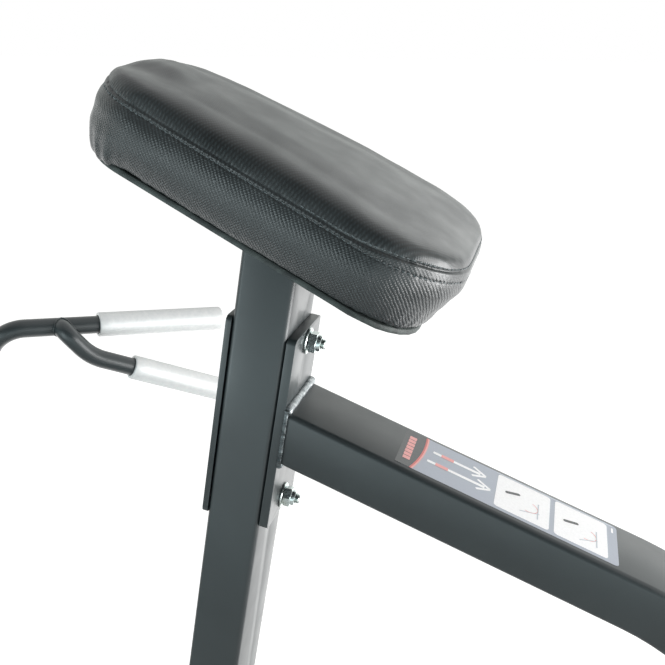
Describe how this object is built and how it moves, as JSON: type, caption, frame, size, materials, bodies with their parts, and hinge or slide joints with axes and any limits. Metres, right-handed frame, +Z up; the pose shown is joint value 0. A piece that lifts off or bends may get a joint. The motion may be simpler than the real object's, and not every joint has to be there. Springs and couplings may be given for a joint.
{
  "type": "incline row machine",
  "caption": "Plate-loaded incline row machine: a sloping chest pad on a post, and a hinged lever with angled hand grips on both sides.",
  "frame": {"origin": "on the floor under the middle of the machine's bounding box", "axes": "+X towards the user's feet (the end with the foot plates), +Y to the left of a user lying on the pad, +Z up"},
  "size_m": [1.6906, 0.9092, 1.1052],
  "materials": {
    "powder_coat": "satin dark grey powder coat on steel",
    "zinc": "bright zinc-plated steel fastener",
    "weld": "bare weld bead, lightly brushed",
    "aluminium": "satin anodised aluminium with a fine knurl",
    "vinyl": "embossed dark vinyl upholstery over foam",
    "board": "black painted plywood",
    "rubber": "matt black rubber",
    "plastic": "black moulded plastic",
    "bronze": "oil-filled sintered bronze",
    "chrome": "polished chrome plate"
  },
  "bodies": {
    "frame": {"backing_plate": "powder_coat", "base_rail": "powder_coat", "beam_weld": "weld", "flange_bolt_lower": "zinc", "flange_bolt_upper": "zinc", "flange_nut_lower": "zinc", "flange_nut_upper": "zinc", "flange_plate": "powder_coat", "flange_washer_lower": "zinc", "flange_washer_upper": "zinc", "foot_mat_left": "rubber", "foot_mat_right": "rubber", "foot_plate_left": "powder_coat", "foot_plate_right": "powder_coat", "foot_rest_tube": "powder_coat", "front_foot_tube": "powder_coat", "main_beam": "powder_coat", "pad_board": "board", "pad_bolt_1": "zinc", "pad_bolt_2": "zinc", "pad_bolt_3": "zinc", "pad_bolt_4": "zinc", "pad_cushion": "vinyl", "pad_mount_plate": "powder_coat", "pad_post": "powder_coat", "pivot_bracket_left": "powder_coat", "pivot_bracket_right": "powder_coat", "pivot_nut_left": "zinc", "pivot_nut_right": "zinc", "pivot_shaft": "zinc", "rear_foot_tube": "powder_coat", "rest_cap_left": "plastic", "rest_cap_right": "plastic", "shoe_front_left": "rubber", "shoe_front_right": "rubber", "shoe_rear_left": "rubber", "shoe_rear_right": "rubber", "stop_bumper": "rubber", "stop_cap": "plastic", "stop_post": "powder_coat"},
    "lever": {"handle_bar_left": "powder_coat", "handle_bar_right": "powder_coat", "handle_branch_left": "powder_coat", "handle_branch_right": "powder_coat", "horn_cap_left": "plastic", "horn_cap_right": "plastic", "inner_grip_left": "aluminium", "inner_grip_right": "aluminium", "lever_arm_left": "powder_coat", "lever_arm_right": "powder_coat", "lever_front_tube": "powder_coat", "outer_grip_left": "aluminium", "outer_grip_right": "aluminium", "pivot_bush_left": "bronze", "pivot_bush_right": "bronze", "pivot_hub_left": "powder_coat", "pivot_hub_right": "powder_coat", "weight_horn_left": "chrome", "weight_horn_right": "chrome"}
  },
  "joints": [
    {"name": "lever_hinge", "type": "hinge", "parent": "frame", "child": "lever", "pos_m": [0.48, 0, 0.165], "axis": [0, 1, 0], "range_deg": [0, 25]}
  ]
}
